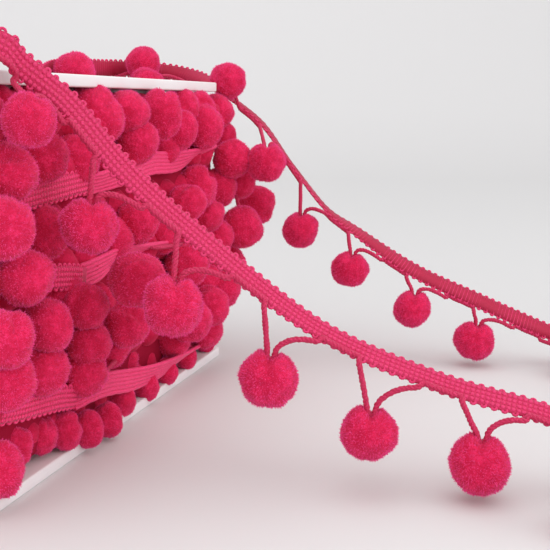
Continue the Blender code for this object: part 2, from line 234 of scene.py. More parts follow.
# Pompoms in the wound turns: middle, diameter, and height over width.
WOUND_COLUMNS = ("x", "y", "z", "diameter", "tall")
WOUND_FRONT = [
    (-18.8, -22, 127.6, 20, 1), (0.6, -27, 126.6, 18.5, 0.88), (26.5, -31, 125.6, 19, 1.34),
    (70.8, -22, 127.6, 19, 1), (82.3, -27, 127.2, 16.9, 1), (120, -22, 125.4, 19, 1),
    (-18.7, -25, 123.1, 19, 1), (5.3, -29, 114.9, 18.2, 1.02), (46, -22, 111.2, 19, 1),
    (48.8, -30, 118.6, 16.9, 1.2), (77.8, -31, 119.3, 19.6, 1.21), (129.9, -20, 113, 18, 1),
    (-68.1, -27, 112.8, 19.5, 1), (-36.6, -23, 110.2, 19.5, 1), (-88.4, -27, 108.2, 20, 1),
    (113.9, -33, 102.1, 19.9, 1.08), (130.7, -30, 89.8, 19, 1), (-101.9, -33, 92.7, 19.6, 1.03),
    (-65.9, -25, 86.8, 19.5, 1), (-0.4, -31, 83.4, 18, 1.05), (39.4, -24, 73.4, 19, 1),
    (49.5, -33, 86.4, 17.4, 1.05), (76.8, -27, 90.8, 20.8, 1.1), (115, -25, 87.8, 20, 1),
    (90, -27, 76.6, 19, 1), (-10.9, -24, 77.6, 19, 1), (50.5, -22, 84.2, 19, 1),
    (104, -26, 64, 20, 1), (118.7, -36, 67.7, 22.3, 1.07), (151.1, -34, 75.9, 21.5, 1.03),
    (-90.7, -33, 75.7, 18.1, 1.13), (-77, -33, 57.4, 18, 1.14), (-105.9, -34, 59.3, 19.1, 1.03),
    (-75.9, -29, 42.2, 19, 1), (-101.1, -30, 44.9, 19.5, 1), (-48.1, -31, 58.1, 17.6, 1.04),
    (-45.2, -31, 43.8, 17.1, 0.96), (-44.8, -28, 32.6, 18.5, 1), (-18.3, -25, 35.6, 18, 1),
    (-43.1, -50, 67.8, 20.8, 0.98), (-27.9, -38, 47.2, 18.5, 0.96), (47, -34, 58.9, 20.6, 1),
    (-48, -20, 63.3, 19, 1), (5.2, -20, 49.6, 19, 1), (33.6, -22, 44.3, 19, 1),
    (95.4, -33, 39.3, 20, 1), (70.9, -35, 35.1, 20, 1), (43.3, -36, 34.2, 20, 1),
    (125.3, -26, 47.6, 19, 1), (90.2, -26, 42.9, 19, 1), (51.1, -24, 23.3, 19, 1),
    (14.2, -15, 20.6, 17, 1), (78.6, -30, 21.5, 18, 1), (-100.9, -24.8, 14.8, 20, 1),
    (-81.4, -20, 15.8, 13.5, 1.22), (-63.2, -19.5, 14.1, 13.8, 1.29),
    (-52.5, -24, 12.5, 13.3, 1.35), (-40.4, -27, 9.3, 12.6, 1.68),
    (-25.3, -27.5, 8.2, 12.8, 1.36), (-2.8, -23.5, 9.4, 12.3, 1.31),
    (21.7, -23.5, 8.6, 12.6, 1.23), (44.4, -23.5, 9.4, 11.9, 1.26),
    (69.5, -23.5, 9.8, 11.3, 1.24), (102.6, -21, 9.8, 11, 1.26), (-79.5, -19, 129.8, 12.5, 1),
    (-60, -17, 130, 12.5, 1), (-41.9, -21, 129.8, 12.1, 1), (-93.2, -24, 127.7, 11, 1),
]

# Bands of heading that show between the wound pompoms: the side that shows, with its chain
# stitches or its lengthwise ridges, and the middle line in ROUTE_COLUMNS.
BANDS = {
    "upper_face": ("face", [
        (-104, -22, 97.5, 10), (-84, -26, 99.2, 5), (-68, -27, 100.4, 0), (-52, -27.2, 101.2, 0),
        (-36, -27, 101.9, 0), (-28, -25.5, 101.4, 10),
    ]),
    "upper_ridge": ("ridge", [
        (-34, -26, 100.4, 30), (-24, -27, 100.8, 30), (0, -27.2, 102.6, 10), (23, -27.2, 104.9, 0),
        (44, -27, 104.2, 0), (60, -26.6, 104.4, 20), (76, -26, 105.6, 45), (92, -25, 106.8, 66),
        (108, -22, 107.4, 70),
    ]),
    "middle_face": ("face", [
        (-74, -24.5, 71.8, 0), (-62, -26.8, 70.6, 0), (-50, -27.2, 68.8, 0), (-38, -26.6, 66.6, 0),
    ]),
    "middle_ridge": ("ridge", [
        (-42, -25.5, 66.8, 0), (-27, -27, 68.4, 5), (-11, -27, 70.8, 35), (10, -26.6, 70.4, 60),
        (30, -26, 69.4, 72), (50, -24, 67.6, 74),
    ]),
    "lower_face": ("face", [
        (-112, -22, 34.6, 25), (-99, -26, 33, 20), (-86, -27, 31, 10), (-74, -27.2, 29.4, 5),
        (-61, -27.2, 27.2, 5), (-50, -27, 24.6, 15), (-42, -25.5, 22.8, 25),
    ]),
    "lower_ridge": ("ridge", [
        (-48, -25.5, 23.4, 0), (-36, -27, 23.6, 0), (-22, -27.2, 22, 0), (-4, -27.2, 18.4, 0),
        (14, -27, 15.6, 20), (34, -26.8, 13.6, 30), (56, -26.4, 13.2, 50), (80, -25, 12.8, 66),
    ]),
    "back_upper": ("ridge", [
        (102, 31.5, 108.5, 10), (78, 33.5, 109.8, 0), (46, 33, 111.6, -6), (12, 33.6, 110.2, 0),
        (-24, 33, 111.4, 8), (-60, 33.6, 112.4, 0), (-84, 33.2, 111, -5), (-104, 30.5, 109.4, -12),
    ]),
    "back_middle": ("face", [
        (104, 30.5, 66.2, 10), (80, 33.4, 67.6, 4), (44, 33, 69.4, 0), (8, 33.6, 68, -6),
        (-30, 33, 69.8, 0), (-66, 33.6, 68.8, 6), (-104, 30.5, 66.8, 12),
    ]),
    "back_lower": ("ridge", [
        (104, 30.5, 25, 0), (76, 33.4, 26.4, -6), (40, 33, 25, 0), (4, 33.6, 26.8, 6),
        (-34, 33, 25.6, 0), (-70, 33.6, 26.2, -4), (-104, 30.5, 24.4, 0),
    ]),
}

# Loose ends of fringe cord that cross the wound turns.
PACK_STRINGS = (
    ((-32, -30, 27.0), (-28.1, -30.5, 30.5), (-14, -31, 33.2), (-1.2, -31, 34.2), (4, -28, 34.0)),
    ((122, -27, 92), (125.6, -30, 84.5), (126.8, -31, 79.0), (128, -32, 74.5)),
    ((14, -27, 71.6), (21.2, -30.5, 69.8), (42, -31, 67.9), (64.1, -30, 65.8), (70, -26, 65.0)),
)


# ---- settings


def length_setting(name, about, default, low, high):
    """A length in metres."""
    return bpy.props.FloatProperty(
        name=name, description=about, default=default, min=low, max=high, unit="LENGTH"
    )


def colour_setting(name, about, *colour):
    """An opaque linear colour."""
    return bpy.props.FloatVectorProperty(
        name=name, description=about, subtype="COLOR", size=4, default=(*colour, 1.0),
        min=0.0, max=1.0,
    )


def power_setting(name, about, default):
    """A light's power in watts."""
    return bpy.props.FloatProperty(
        name=name, description=about, default=default, min=0.0, max=500.0, unit="POWER"
    )


class ReelSettings(bpy.types.PropertyGroup):
    """Sizes and colour of the reel."""

    flange_length: length_setting("Flange length", "Long side of both flanges", 0.230, 0.1, 0.4)
    flange_width: length_setting("Flange width", "Short side of both flanges", 0.050, 0.02, 0.1)
    flange_thickness: length_setting(
        "Flange thickness", "Thickness of both flanges", 0.0045, 0.001, 0.01
    )
    height: length_setting("Height", "Outside to outside over both flanges", 0.140, 0.05, 0.3)
    corner: length_setting(
        "Corner radius", "Radius of the flanges' upright corners", 0.003, 0.0005, 0.01
    )
    edge: length_setting("Edge softening", "Radius of the flanges' edges", 0.0007, 0.0001, 0.002)
    board_colour: colour_setting("Board", "Colour of the reel's board", 0.83, 0.815, 0.82)


class TrimSettings(bpy.types.PropertyGroup):
    """Sizes and colours of the trim."""

    heading_width: length_setting(
        "Heading width", "Width of the braid over its edge rings", 0.010, 0.005, 0.03
    )
    weft_thickness: length_setting(
        "Weft yarn", "Diameter of the yarn that goes to and fro in the braid",
        0.0010, 0.0003, 0.002,
    )
    cord_thickness: length_setting(
        "Fringe cord", "Diameter of the cord that carries the pompoms", 0.0022, 0.001, 0.005
    )
    cord_twist: length_setting(
        "Cord twist", "Length of one full turn of the cord's plies", 0.0042, 0.001, 0.02
    )
    # The deep pile colour gives random dark flecks and also painted shade: in the tie's groove, on
    # the braid's reverse and over the wound turns' inside.
    pile_deep_and_shade: colour_setting("Pile, deep", "Colour between the tufts", 0.56, 0.0115, 0.058)
    pile_body: colour_setting("Pile, body", "Main colour of the cut pile", 0.745, 0.0200, 0.096)
    # The tufts' pale tip colour is painted sheen, standing in for the light the pile scatters at
    # the pompoms' rims.
    pile_tip_sheen: colour_setting("Pile, tips", "Colour of the tufts' tips", 1.0, 0.115, 0.43)
    yarn_deep: colour_setting(
        "Braid yarn, deep", "Colour of the braid's yarn in its hollows", 0.44, 0.009, 0.052
    )
    yarn_body: colour_setting("Braid yarn", "Main colour of the braid's yarn", 0.70, 0.030, 0.145)
    yarn_bright: colour_setting(
        "Braid yarn, bright", "Colour of the braid's yarn on its crowns", 0.84, 0.056, 0.205
    )
    # The ground's darker colour is painted shade in the holes between the stitches.
    yarn_ground_shade: colour_setting(
        "Braid ground", "Colour of the braid's ground between its stitches", 0.58, 0.020, 0.095
    )
    cord_body: colour_setting("Fringe cord", "Main colour of the fringe cord", 0.56, 0.020, 0.090)


class StageSettings(bpy.types.PropertyGroup):
    """Floor and light."""

    floor_colour: colour_setting("Floor", "Colour of the floor", 0.73, 0.735, 0.73)
    sky_colour: colour_setting("Surround", "Colour of the light from all round", 0.775, 0.755, 0.77)
    sky_strength: bpy.props.FloatProperty(
        name="Surround strength", description="Strength of the light from all round",
        default=1.32, min=0.0, max=5.0,
    )
    key_power: power_setting("Top light", "Power of the large light above", 9.0)
    fill_power: power_setting("Front light", "Power of the soft light from the front", 1.5)
    side_power: power_setting("Side light", "Power of the soft light from the right", 8.0)


GROUPS = {"fringe_reel": ReelSettings, "fringe_trim": TrimSettings, "fringe_stage": StageSettings}


def settings():
    """The scene's three groups of settings."""
    return [getattr(bpy.context.scene, name) for name in GROUPS]


# ---- materials


def feed(socket, value):
    """Give a socket a constant, or link it to another node's output."""
    if isinstance(value, bpy.types.NodeSocket):
        socket.id_data.links.new(value, socket)
    else:
        socket.default_value = value


def add_node(tree, kind, inputs=None, **options):
    """Add a node with its options set and its inputs fed."""
    made = tree.nodes.new(kind)
    for name, value in options.items():
        setattr(made, name, value)
    for name, value in (inputs or {}).items():
        feed(made.inputs[name], value)
    return made


def new_finish(name, shader_inputs):
    """A material with its constant shader values set; returns it, its tree and its shader."""
    finish = bpy.data.materials.new(name)
    finish.use_nodes = True
    tree = finish.node_tree
    shader = tree.nodes["Principled BSDF"]
    for key, value in shader_inputs.items():
        shader.inputs[key].default_value = value
    return finish, tree, shader


def colour_steps(tree, factor, steps):
    """A colour ramp through (position, colour) steps."""
    ramp = add_node(tree, "ShaderNodeValToRGB", {"Fac": factor})
    elements = ramp.color_ramp.elements
    while len(elements) < len(steps):
        elements.new(0.5)
    for element, (position, colour) in zip(elements, steps):
        element.position = position
        element.color = colour
    return ramp.outputs["Color"]


def mixed(tree, factor, first, second):
    """Mix two colours."""
    mix = add_node(tree, "ShaderNodeMix", data_type="RGBA")
    feed(mix.inputs[0], factor)
    feed(mix.inputs[6], first)
    feed(mix.inputs[7], second)
    return mix.outputs[2]


def speckle(tree, where, scale, detail, rough):
    """Soft noise of the given number of spots a metre."""
    made = add_node(
        tree, "ShaderNodeTexNoise",
        {"Vector": where, "Scale": scale, "Detail": detail, "Roughness": rough},
    )
    return made.outputs["Fac"]


def between(tree, value, low, high, new_low=0.0, new_high=1.0):
    """Stretch a value from one range to another."""
    made = add_node(
        tree, "ShaderNodeMapRange",
        {"Value": value, "From Min": low, "From Max": high, "To Min": new_low, "To Max": new_high},
    )
    return made.outputs["Result"]


def object_place(tree):
    """Object coordinates."""
    return add_node(tree, "ShaderNodeTexCoord").outputs["Object"]


def raised(tree, shader, height, strength, distance):
    """Bump from a height."""
    bump = add_node(
        tree, "ShaderNodeBump", {"Height": height, "Strength": strength, "Distance": distance}
    )
    feed(shader.inputs["Normal"], bump.outputs["Normal"])


def shaded(colour, shade):
    """An opaque colour, brighter or darker by a factor."""
    return [min(1.0, c * shade) for c in colour[:3]] + [1.0]


def pile_finish(name, deep, body, tip, shade=1.0, sheen=0.3):
    """Cut pile: velvety, dark flecks, painted shade in the tie's groove, painted sheen on the
    tufts' tips.
    """
    # shade scales a whole copy's colours; below 1 it is painted shade.
    deep, body, tip = (shaded(colour, shade) for colour in (deep, body, tip))
    finish, tree, shader = new_finish(name, {
        "Roughness": 0.95, "Specular IOR Level": 0.1, "Sheen Weight": sheen,
        "Sheen Roughness": 0.45, "Sheen Tint": (1.0, 0.40, 0.70, 1.0),
    })
    warm = [c * 0.75 + t * 0.25 for c, t in zip(body, tip)]
    where = object_place(tree)
    fine = speckle(tree, where, 1300.0, 2.0, 0.7)
    patches = speckle(tree, where, 330.0, 3.0, 0.55)
    reach = add_node(tree, "ShaderNodeAttribute", attribute_name="reach").outputs["Fac"]
    base = colour_steps(
        tree, between(tree, fine, 0.32, 0.70), ((0.0, deep), (0.5, body), (1.0, warm))
    )
    toned = mixed(tree, between(tree, patches, 0.62, 0.38, 0.0, 0.9), base, deep)
    # Painted sheen: tufts are paled towards the tip colour as they reach out to their tips.
    sheened_tips = mixed(tree, between(tree, reach, 0.45, 1.0, 0.0, 0.85), toned, tip)
    # Painted shade: pile sunk low, as in the tie's groove, is darkened towards the deep colour.
    groove_shade = mixed(tree, between(tree, reach, 0.0, 0.3, 0.85, 0.0), sheened_tips, deep)
    feed(shader.inputs["Base Color"], groove_shade)
    raised(tree, shader, fine, 0.5, 0.0006)
    return finish


def yarn_finish(name, deep, body, bright, shade=1.0):
    """Spun yarn: fine flecks of light and dark, a dull gleam."""
    # shade scales a whole copy's colours; above 1 it is painted light.
    deep, body, bright = (shaded(colour, shade) for colour in (deep, body, bright))
    finish, tree, shader = new_finish(name, {
        "Roughness": 0.62, "Specular IOR Level": 0.35, "Sheen Weight": 0.18,
        "Sheen Roughness": 0.4, "Sheen Tint": (1.0, 0.5, 0.65, 1.0),
    })
    where = object_place(tree)
    fine = speckle(tree, where, 2200.0, 2.0, 0.6)
    patches = speckle(tree, where, 320.0, 2.0, 0.5)
    base = colour_steps(
        tree, between(tree, fine, 0.25, 0.75), ((0.0, deep), (0.5, body), (1.0, bright))
    )
    toned = mixed(tree, between(tree, patches, 0.3, 0.75, 0.0, 0.5), base, body)
    feed(shader.inputs["Base Color"], toned)
    raised(tree, shader, fine, 0.5, 0.0002)
    return finish


def board_finish(name, colour):
    """Smooth white moulded board: faint mottling, small scuffs and a soft gloss."""
    finish, tree, shader = new_finish(name, {"Specular IOR Level": 0.4, "Coat Weight": 0.05})
    where = object_place(tree)
    mottle = speckle(tree, where, 30.0, 3.0, 0.55)
    grain = speckle(tree, where, 900.0, 2.0, 0.6)
    drawn = add_node(tree, "ShaderNodeMapping", {"Vector": where, "Scale": (14.0, 120.0, 120.0)})
    scuffs = speckle(tree, drawn.outputs["Vector"], 1.0, 4.0, 0.6)
    warm = [c * f for c, f in zip(colour[:3], (0.96, 0.93, 0.94))] + [1.0]
    base = mixed(tree, between(tree, mottle, 0.35, 0.7), list(colour), warm)
    worn = mixed(tree, between(tree, scuffs, 0.62, 0.8, 0.0, 0.25), base, (0.62, 0.58, 0.59, 1.0))
    feed(shader.inputs["Base Color"], worn)
    feed(shader.inputs["Roughness"], between(tree, mottle, 0.3, 0.7, 0.38, 0.5))
    raised(tree, shader, grain, 0.12, 0.0002)
    return finish


def floor_finish(name, colour):
    """Pale floor with painted light: a little greyer round the object, paler where it sweeps up."""
    finish, tree, shader = new_finish(name, {"Roughness": 0.8, "Specular IOR Level": 0.1})
    where = add_node(tree, "ShaderNodeSeparateXYZ", {"Vector": object_place(tree)})
    steps = [(share, shaded(colour, pale)) for share, pale in FLOOR_PAINTED_LIGHT]
    along = colour_steps(tree, between(tree, where.outputs["X"], 0.0, FLOOR_SPAN), steps)
    dimmer = between(tree, where.outputs["Y"], *FLOOR_PAINTED_DIMMING)
    feed(shader.inputs["Base Color"], mixed(tree, dimmer, (0.0, 0.0, 0.0, 1.0), along))
    return finish


def finishes():
    """The object's finishes by name, made once."""
    reel, trim, _ = settings()
    deep, body = trim.pile_deep_and_shade, trim.pile_body
    yarn_deep, yarn_body, yarn_bright = trim.yarn_deep, trim.yarn_body, trim.yarn_bright
    makers = {
        "reel_paint": (board_finish, reel.board_colour),
        "cut_pile": (pile_finish, deep, body, trim.pile_tip_sheen),
        # Cut pile 0.9 times darker and without pale tips: painted shade on the fill pompoms tucked
        # behind the front ones.
        "pile_shade": (pile_finish, deep, body, body, 0.9, 0.15),
        "braid_yarn": (yarn_finish, yarn_deep, yarn_body, yarn_bright),
        # The ribbon ground between the stitches, darker: painted shade in the holes.
        "braid_ground": (yarn_finish, yarn_deep, trim.yarn_ground_shade, yarn_body),
        # The braid's reverse in darker colours: painted shade, as where the far strand shows its
        # reverse.
        "braid_reverse": (yarn_finish, deep, yarn_deep, trim.yarn_ground_shade),
        # The bands' yarn, 1.2 times brighter than the loose braid's: painted light.
        "wound_yarn": (yarn_finish, yarn_deep, yarn_body, yarn_bright, 1.2),
        "cord_yarn": (yarn_finish, yarn_deep, trim.cord_body, yarn_bright),
        # The wound turns' inside: deep pile colours at 0.6, painted shade between the pompoms.
        "wound_dark": (pile_finish, deep, deep, body, 0.6, 0.0),
    }
    return {
        name: bpy.data.materials.get(name) or make(name, *values)
        for name, (make, *values) in makers.items()
    }


# ---- shared making


def mesh_from(builder, name):
    """Turn a finished bmesh into mesh data."""
    data = bpy.data.meshes.new(name)
    builder.to_mesh(data)
    builder.free()
    return data


def linked(name, data):
    """A new object in the scene's own collection."""
    made = bpy.data.objects.new(name, data)
    bpy.context.scene.collection.objects.link(made)
    return made


def placed_cube(builder, size, middle):
    """Add a box; returns its vertices."""
    verts = bmesh.ops.create_cube(builder, size=1.0)["verts"]
    bmesh.ops.scale(builder, verts=verts, vec=size)
    bmesh.ops.translate(builder, verts=verts, vec=middle)
    return verts


def bevelled(builder, edges, offset, segments):
    """Round the given edges; returns the new geometry."""
    return bmesh.ops.bevel(
        builder, geom=edges, offset=offset, segments=segments, profile=0.5, affect="EDGES",
        material=-1,
    )


def placed(middle, turn, size):
    """The matrix that sizes and turns a shape and takes it to its middle."""
    return Matrix.Translation(middle) @ turn @ Matrix.Diagonal((*size, 1.0))


def discarded(*meshes):
    """Remove meshes that only served to make copies."""
    for data in meshes:
        bpy.data.meshes.remove(data)


def add_piece(name, data, *used):
    """Link a piece at the origin, with the named finishes, riding on the root body."""
    for finish in used:
        data.materials.append(finishes()[finish])
    piece = linked(name, data)
    data.shade_smooth()
    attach(piece, "root")
    return piece


def gathered(shapes, group=48):
    """Join copies of small meshes, each put in its place, a group at a time."""
    whole = bmesh.new()
    for start in range(0, len(shapes), group):
        share = bmesh.new()
        for shape, place in shapes[start : start + group]:
            copy = shape.copy()
            copy.transform(place)
            share.from_mesh(copy)
            discarded(copy)
        data = mesh_from(share, "group")
        whole.from_mesh(data)
        discarded(data)
    return whole


def catmull_rom(before, start, end, after, t):
    """Point at t between start and end on a smooth curve through four values."""
    return 0.5 * (
        2.0 * start
        + (end - before) * t
        + (2.0 * before - 5.0 * start + 4.0 * end - after) * t**2
        + (3.0 * start - 3.0 * end + after - before) * t**3
    )


class Route:
    """A band's middle line as a smooth curve, read by the length along it."""

    SAMPLES = 24
    LOOK_BACK = 20.0

    def __init__(self, rows):
        rows = [dict(zip(ROUTE_COLUMNS, row)) for row in rows]
        knots = [Vector((row["x"], row["y"], row["z"])) for row in rows]
        leans = [math.radians(row["lean"]) for row in rows]
        knots = [2 * knots[0] - knots[1], *knots, 2 * knots[-1] - knots[-2]]
        leans = [leans[0], *leans, leans[-1]]
        self.points, self.leans, self.lengths = [], [], [0.0]
        for i in range(1, len(knots) - 2):
            for step in range(self.SAMPLES):
                t = step / self.SAMPLES
                self.points.append(catmull_rom(*knots[i - 1 : i + 3], t))
                self.leans.append(leans[i] + (leans[i + 1] - leans[i]) * t)
        self.points.append(knots[-2])
        self.leans.append(leans[-2])
        for a, b in zip(self.points, self.points[1:]):
            self.lengths.append(self.lengths[-1] + (b - a).length)
        self.length = self.lengths[-1]
        self.near = 0

    def at(self, distance):
        """The point, the way it runs and the unit vector from fringe edge to free edge."""
        distance = min(max(distance, 0.0), self.length)
        i = self.near
        if self.lengths[i] > distance or distance - self.lengths[i] > self.LOOK_BACK:
            i = 0
        while i < len(self.lengths) - 2 and self.lengths[i + 1] < distance:
            i += 1
        self.near = i
        share = (distance - self.lengths[i]) / (self.lengths[i + 1] - self.lengths[i])
        point = self.points[i].lerp(self.points[i + 1], share)
        low, high = max(i - 2, 0), min(i + 3, len(self.points) - 1)
        run = (self.points[high] - self.points[low]).normalized()
        lean = self.leans[i] + (self.leans[i + 1] - self.leans[i]) * share
        right = run.cross(UP).normalized()
        upright = right.cross(run).normalized()
        across = upright * math.cos(lean) + right * math.sin(lean)
        return point, run, across

    def on(self, distance, side, out):
        """A point beside the middle line: side towards the free edge, out off the band."""
        point, run, across = self.at(distance)
        extra = min(distance, 0.0) + max(distance - self.length, 0.0)
        return point + run * extra + across * side + run.cross(across) * out


def tube_mesh(name, lines, radius, round_steps=1):
    """Capped tubes of the given radius through lines of points, in millimetres."""
    data = bpy.data.curves.new(name, "CURVE")
    data.dimensions = "3D"
    data.bevel_depth = radius * MM
    data.bevel_resolution = round_steps
    data.use_fill_caps = True
    for line in lines:
        spline = data.splines.new("POLY")
        spline.points.add(len(line) - 1)
        for target, point in zip(spline.points, line):
            target.co = (*(point * MM), 1.0)
    holder = linked(name, data)
    bpy.context.view_layer.update()
    seen = holder.evaluated_get(bpy.context.evaluated_depsgraph_get())
    made = bpy.data.meshes.new_from_object(seen)
    bpy.data.objects.remove(holder)
    bpy.data.curves.remove(data)
    made.name = name
    return made


# ---- reel


def softened_box(builder, size, middle, corner, edge):
    """A box with rounded upright corners and softened edges, in metres."""
    verts = placed_cube(builder, size, middle)
    upright = {
        e for v in verts for e in v.link_edges if abs(e.verts[0].co.z - e.verts[1].co.z) > MM
    }
    made = bevelled(builder, list(upright), corner, 5)
    verts = {v for face in made["faces"] for v in face.verts} | {v for v in verts if v.is_valid}
    level = {
        e for v in verts for e in v.link_edges
        if abs(e.verts[0].co.z - e.verts[1].co.z) < 1e-6
    }
    bevelled(builder, list(level), edge, 3)


def add_reel():
    """Both flanges with softened edges, and the web between them."""
    reel, _, _ = settings()
    builder = bmesh.new()
    size = (reel.flange_length, reel.flange_width, reel.flange_thickness)
    for middle in (reel.flange_thickness / 2, reel.height - reel.flange_thickness / 2):
        softened_box(builder, size, (0.0, 0.0, middle), reel.corner, reel.edge)
    web = (*WEB_SIZE, reel.height - 2 * reel.flange_thickness + 2 * WEB_LET_IN)
    placed_cube(builder, web, (0.0, 0.0, reel.height / 2))
    piece = add_piece("reel_board", mesh_from(builder, "reel_board"), "reel_paint")
    piece.data.set_sharp_from_angle(angle=math.radians(40))
    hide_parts("reel")
    return piece


# ---- braid


def base_ribbon(name, route, rib_side):
    """The braid's ground: a narrow ribbon with fine ribs across it on one side."""
    steps = round(route.length / (RIB_PITCH / 2))
    builder = bmesh.new()
    bmesh.ops.create_grid(builder, x_segments=steps, y_segments=2, size=1.0)
    grown = bmesh.ops.extrude_face_region(builder, geom=builder.faces[:])["geom"]
    lifted = [item for item in grown if isinstance(item, bmesh.types.BMVert)]
    bmesh.ops.translate(builder, verts=lifted, vec=UP)
    for face in grown:
        if isinstance(face, bmesh.types.BMFace):
            face.material_index = 1
    for vert in sorted(builder.verts, key=lambda v: v.co.x):
        share = (vert.co.x + 1.0) / 2.0
        rib = RIB_HEIGHT if round(share * steps) % 2 else -RIB_HEIGHT
        out = BASE_REVERSE + rib if vert.co.z > 0.5 else -BASE_FACE
        side = vert.co.y * BASE_WIDTH / 2
        vert.co = route.on(share * route.length, side, rib_side * out) * MM
    bmesh.ops.recalc_face_normals(builder, faces=builder.faces)
    # The reverse side's finish is painted shade.
    return add_piece(name, mesh_from(builder, name), "braid_ground", "braid_reverse")


def weft_line(route):
    """The weft's points: to and fro across the braid, with an open ring at each turn."""
    points = []
    for number in range(int(route.length / PASS_PITCH) - 1):
        way = 1 if number % 2 == 0 else -1
        start = (number + 0.5) * PASS_PITCH
        points += [route.on(start, side * way, 0.0) for side in WEFT_SIDES]
        for step in range(RING_STEPS):
            turn = math.radians(RING_START - step * RING_SWEEP / (RING_STEPS - 1))
            along = start + PASS_PITCH / 2 + RING_RADIUS * math.cos(turn)
            side = way * (RING_OUT + RING_RADIUS * math.sin(turn))
            points.append(route.on(along, side, RING_WAVE * math.cos(turn)))
    return points


def weft_mesh(name, route):
    """The weft as a tube of yarn."""
    _, trim, _ = settings()
    return tube_mesh(name, [weft_line(route)], trim.weft_thickness / MM / 2)


def chain_stitches(route, face, chance):
    """Chain stitches in columns on the braid's face, each a small rounded lozenge."""
    shape = bmesh.new()
    bmesh.ops.create_uvsphere(shape, u_segments=6, v_segments=4, radius=1.0)
    stitch = mesh_from(shape, "stitch")
    shapes = []
    for number in range(int(route.length / PASS_PITCH) - 1):
        along = (number + 0.5) * PASS_PITCH
        _, run, across = route.at(along)
        out = run.cross(across) * face
        turn = Matrix((run, across, out)).transposed().to_4x4()
        for column, side in enumerate(CHAIN_COLUMNS):
            place = route.on(along, side, CHAIN_OUT * face)
            lean = math.radians(CHAIN_TURN if column % 2 else -CHAIN_TURN)
            size = [c * chance.uniform(*CHAIN_SPREAD) for c in CHAIN_SIZE]
            leant = turn @ Matrix.Rotation(lean, 4, "Z")
            shapes.append((stitch, placed(place * MM, leant, Vector(size) * MM)))
    made = mesh_from(gathered(shapes), "chain")
    discarded(stitch)
    return made


def ridge_lines(route, face):
    """Lengthwise ridges over the braid, a little wavy."""
    steps = round(route.length / RIDGE_STEP)
    return [
        [
            route.on(
                route.length * step / steps,
                side + 0.08 * math.sin(step * 1.7 + number),
                face * (0.12 + 0.06 * math.sin(step * 2.3 + number * 2.1)),
            )
            for step in range(steps + 1)
        ]
        for number, side in enumerate(RIDGE_SIDES)
    ]


def add_heading(route):
    """The loose length's braid: ground, weft and chain stitches."""
    ribbon = base_ribbon("heading_ground", route, 1.0)
    weft = add_piece("heading_weft", weft_mesh("heading_weft", route), "braid_yarn")
    chain = chain_stitches(route, -1.0, random.Random(HEADING_SEED))
    chain = add_piece("heading_chain", chain, "braid_yarn")
    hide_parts("heading")
    return ribbon, [weft, chain]


# ---- fringe cord


def loop_edge(route, distance):
    """A point of the fringe cord where it is laid over the face of the fringe edge."""
    return route.on(distance, -EDGE_OUT, -EDGE_RAISED)


def tie_way(ends, middle):
    """The way from a pompom's middle to where its loop is tied in, and along its heading."""
    towards = ((ends[0] + ends[1]) / 2 - middle).normalized()
    towards = (towards + UP * TIE_LIFT * max(0.0, towards.z)).normalized()
    along = ends[1] - ends[0]
    return towards, (along - towards * along.dot(towards)).normalized()


def loop_ends(route, distance):
    """Where one loop leaves the heading and comes back to it."""
    return [
        route.on(distance + side * LOOP_WIDTH / 2, -DROP_OUT, -EDGE_RAISED / 2)
        for side in (-1, 1)
    ]


def loop_points(route, distance, middle, diameter, cord):
    """The fringe cord's points down to one pompom and back to the heading."""
    ends = loop_ends(route, distance)
    towards, along = tie_way(ends, middle)
    clear = diameter / 2 + cord / 2 + SEAT_GAP
    legs = []
    lower = min(ends, key=lambda end: end.z)
    for side, end in zip((-1, 1), ends):
        foot = middle + towards * (clear - TIE_SINK) + along * side * LOOP_FOOT / 2
        leg = [end]
        for share, lift, gap in ARCHED_LEG if end is lower else HANGING_LEG:
            away = end.lerp(foot, share) + UP * lift - middle
            leg.append(middle + away.normalized() * max(away.length, clear + gap))
        legs.append([*leg, foot])
    return legs[0] + legs[1][::-1]


def pompom_boxes():
    """Each loose pompom's middle and diameter, from the frame."""
    found = []
    for number in range(1, POMPOM_COUNT + 1):
        low, high = (Vector(corner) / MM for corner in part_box(f"pompom_{number:02d}"))
        found.append(((low + high) / 2, (high.z - low.z)))
    return found


def cord_line(route, cord):
    """The fringe cord as one comb: along the fringe edge, and down and up at each loop."""
    done, end = EDGE_INSET, route.length - EDGE_INSET
    points = [loop_edge(route, done)]
    for station, (middle, diameter) in enumerate(pompom_boxes()):
        distance = FIRST_STATION + station * LOOP_PITCH
        points += edge_run(route, done, distance - LOOP_WIDTH / 2)
        points += loop_points(route, distance, middle, diameter, cord)
        done = distance + LOOP_WIDTH / 2
    return [*points, *edge_run(route, done, end), loop_edge(route, end)]


def edge_run(route, start, end):
    """The fringe cord's points where it follows the fringe edge, just short of both ends."""
    start, end = start + EDGE_TURN, end - EDGE_TURN
    steps = max(1, round((end - start) / EDGE_STEP))
    return [loop_edge(route, start + (end - start) * i / steps) for i in range(steps + 1)]


def smoothed(points, step):
    """The same line as a smooth curve, in short even steps."""
    ends = [2 * points[0] - points[1], *points, 2 * points[-1] - points[-2]]
    fine = []
    for i in range(1, len(ends) - 2):
        count = max(1, round((ends[i + 1] - ends[i]).length / step))
        fine += [catmull_rom(*ends[i - 1 : i + 3], k / count) for k in range(count)]
    return [*fine, points[-1]]


